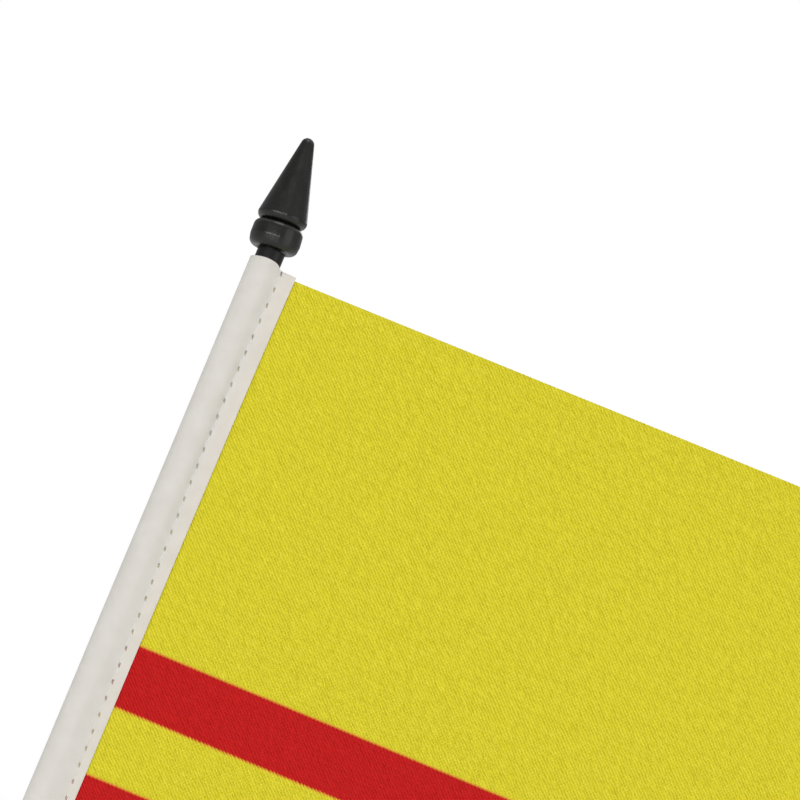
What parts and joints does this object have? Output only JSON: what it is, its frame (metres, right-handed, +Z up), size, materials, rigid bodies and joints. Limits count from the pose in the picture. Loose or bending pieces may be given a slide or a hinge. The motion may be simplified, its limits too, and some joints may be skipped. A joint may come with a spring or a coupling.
{
  "type": "desk flag stand",
  "caption": "Small cloth flag sewn to a sleeve on a slim plastic staff with a pointed finial, standing in a round weighted base.",
  "frame": {"origin": "centre of the foot pad's underside, on the staff's axis", "axes": "+Z up the staff, +X from the staff towards the flag's free end, the flag's front faces -Y"},
  "size_m": [0.2479, 0.08, 0.3404],
  "materials": {
    "black_plastic": "satin moulded plastic, black, fine even grain",
    "staff_plastic": "extruded black plastic tube, satin, faint lengthwise draw lines",
    "finial_plastic": "satin moulded black plastic with faint lengthwise streaks and a mould parting line",
    "grey_plastic": "dark grey moulded plastic, matt",
    "steel": "zinc-plated stamped steel",
    "foam_rubber": "matt closed-cell foam, non-slip",
    "sleeve_tape": "off-white woven polyester tape, matt",
    "flag_cloth": "woven polyester with a fine diagonal rib, yellow with three red stripes, hot-cut edges",
    "sewing_thread": "off-white polyester sewing thread, slight sheen"
  },
  "bodies": {
    "base": {"foot_pad": "foam_rubber", "base_cover": "grey_plastic", "ballast_plate": "steel", "base_shell": "black_plastic"},
    "staff": {"staff": "staff_plastic"},
    "finial": {"finial": "finial_plastic"},
    "flag": {"sleeve_tape": "sleeve_tape", "flag_cloth": "flag_cloth", "needle_thread": "sewing_thread", "bobbin_thread": "sewing_thread"}
  },
  "joints": [
    {"name": "staff_lift", "type": "slide", "parent": "base", "child": "staff", "axis": [0, 0, 1], "range_m": [0, 0.018]},
    {"name": "finial_pull", "type": "slide", "parent": "staff", "child": "finial", "axis": [0, 0, 1], "range_m": [0, 0.005]},
    {"name": "flag_swing", "type": "hinge", "parent": "staff", "child": "flag", "pos_m": [0, 0, 0.255], "axis": [0, 0, 1], "continuous": true}
  ]
}
